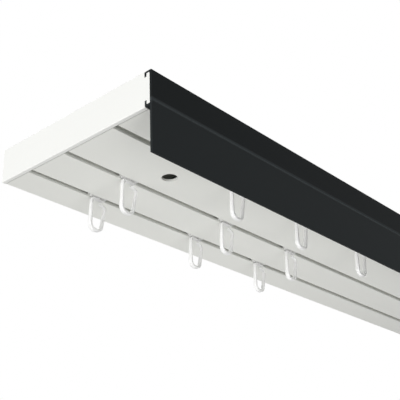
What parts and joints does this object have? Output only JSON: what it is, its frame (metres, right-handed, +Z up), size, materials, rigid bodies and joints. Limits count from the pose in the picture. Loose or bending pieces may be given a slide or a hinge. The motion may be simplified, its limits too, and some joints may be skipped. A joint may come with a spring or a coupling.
{
  "type": "curtain track",
  "caption": "Ceiling curtain track with three slotted runs, a tall clip-on fascia, end caps and turning curtain hooks on runners.",
  "frame": {"origin": "centre of the face that lies against the ceiling", "axes": "+X along the track, away from the end that the gliders hang near; +Y across it, from the fascia to the back edge; +Z up"},
  "size_m": [1.2, 0.1275, 0.0503],
  "materials": {
    "track_white": "satin extruded plastic",
    "fascia_black": "satin extruded plastic",
    "cap_white": "satin moulded plastic",
    "runner_nylon": "semi-gloss moulded plastic",
    "hook_nylon": "semi-gloss moulded plastic"
  },
  "bodies": {
    "root": {"track_profile": "track_white", "fascia": "fascia_black", "end_cap_near": "cap_white", "end_cap_far": "cap_white"},
    "runner_run_1_first": {"runner_run_1_first": "runner_nylon"},
    "hook_run_1_first": {"hook_run_1_first": "hook_nylon"},
    "runner_run_1_second": {"runner_run_1_second": "runner_nylon"},
    "hook_run_1_second": {"hook_run_1_second": "hook_nylon"},
    "runner_run_1_third": {"runner_run_1_third": "runner_nylon"},
    "hook_run_1_third": {"hook_run_1_third": "hook_nylon"},
    "runner_run_2_first": {"runner_run_2_first": "runner_nylon"},
    "hook_run_2_first": {"hook_run_2_first": "hook_nylon"},
    "runner_run_2_second": {"runner_run_2_second": "runner_nylon"},
    "hook_run_2_second": {"hook_run_2_second": "hook_nylon"},
    "runner_run_2_third": {"runner_run_2_third": "runner_nylon"},
    "hook_run_2_third": {"hook_run_2_third": "hook_nylon"},
    "runner_run_3_first": {"runner_run_3_first": "runner_nylon"},
    "hook_run_3_first": {"hook_run_3_first": "hook_nylon"},
    "runner_run_3_second": {"runner_run_3_second": "runner_nylon"},
    "hook_run_3_second": {"hook_run_3_second": "hook_nylon"},
    "runner_run_3_third": {"runner_run_3_third": "runner_nylon"},
    "hook_run_3_third": {"hook_run_3_third": "hook_nylon"}
  },
  "joints": [
    {"name": "slide_run_1_first", "type": "slide", "parent": "root", "child": "runner_run_1_first", "axis": [1, 0, 0], "range_m": [-0.0977, 0.0535]},
    {"name": "turn_run_1_first", "type": "hinge", "parent": "runner_run_1_first", "child": "hook_run_1_first", "pos_m": [-0.4921, -0.034, -0.022], "axis": [0, 0, 1], "continuous": true},
    {"name": "slide_run_1_second", "type": "slide", "parent": "root", "child": "runner_run_1_second", "axis": [1, 0, 0], "range_m": [-0.0535, 0.0615]},
    {"name": "turn_run_1_second", "type": "hinge", "parent": "runner_run_1_second", "child": "hook_run_1_second", "pos_m": [-0.4231, -0.034, -0.022], "axis": [0, 0, 1], "continuous": true},
    {"name": "slide_run_1_third", "type": "slide", "parent": "root", "child": "runner_run_1_third", "axis": [1, 0, 0], "range_m": [-0.0615, 0.9359]},
    {"name": "turn_run_1_third", "type": "hinge", "parent": "runner_run_1_third", "child": "hook_run_1_third", "pos_m": [-0.3461, -0.034, -0.022], "axis": [0, 0, 1], "continuous": true},
    {"name": "slide_run_2_first", "type": "slide", "parent": "root", "child": "runner_run_2_first", "axis": [1, 0, 0], "range_m": [-0.0433, 0.078]},
    {"name": "turn_run_2_first", "type": "hinge", "parent": "runner_run_2_first", "child": "hook_run_2_first", "pos_m": [-0.5465, 0.007, -0.022], "axis": [0, 0, 1], "continuous": true},
    {"name": "slide_run_2_second", "type": "slide", "parent": "root", "child": "runner_run_2_second", "axis": [1, 0, 0], "range_m": [-0.078, 0.0598]},
    {"name": "turn_run_2_second", "type": "hinge", "parent": "runner_run_2_second", "child": "hook_run_2_second", "pos_m": [-0.453, 0.007, -0.022], "axis": [0, 0, 1], "continuous": true},
    {"name": "slide_run_2_third", "type": "slide", "parent": "root", "child": "runner_run_2_third", "axis": [1, 0, 0], "range_m": [-0.0598, 0.9675]},
    {"name": "turn_run_2_third", "type": "hinge", "parent": "runner_run_2_third", "child": "hook_run_2_third", "pos_m": [-0.3777, 0.007, -0.022], "axis": [0, 0, 1], "continuous": true},
    {"name": "slide_run_3_first", "type": "slide", "parent": "root", "child": "runner_run_3_first", "axis": [1, 0, 0], "range_m": [-0.0468, 0.0785]},
    {"name": "turn_run_3_first", "type": "hinge", "parent": "runner_run_3_first", "child": "hook_run_3_first", "pos_m": [-0.543, 0.039, -0.022], "axis": [0, 0, 1], "continuous": true},
    {"name": "slide_run_3_second", "type": "slide", "parent": "root", "child": "runner_run_3_second", "axis": [1, 0, 0], "range_m": [-0.0785, 0.0585]},
    {"name": "turn_run_3_second", "type": "hinge", "parent": "runner_run_3_second", "child": "hook_run_3_second", "pos_m": [-0.449, 0.039, -0.022], "axis": [0, 0, 1], "continuous": true},
    {"name": "slide_run_3_third", "type": "slide", "parent": "root", "child": "runner_run_3_third", "axis": [1, 0, 0], "range_m": [-0.0585, 0.9648]},
    {"name": "turn_run_3_third", "type": "hinge", "parent": "runner_run_3_third", "child": "hook_run_3_third", "pos_m": [-0.375, 0.039, -0.022], "axis": [0, 0, 1], "continuous": true}
  ]
}
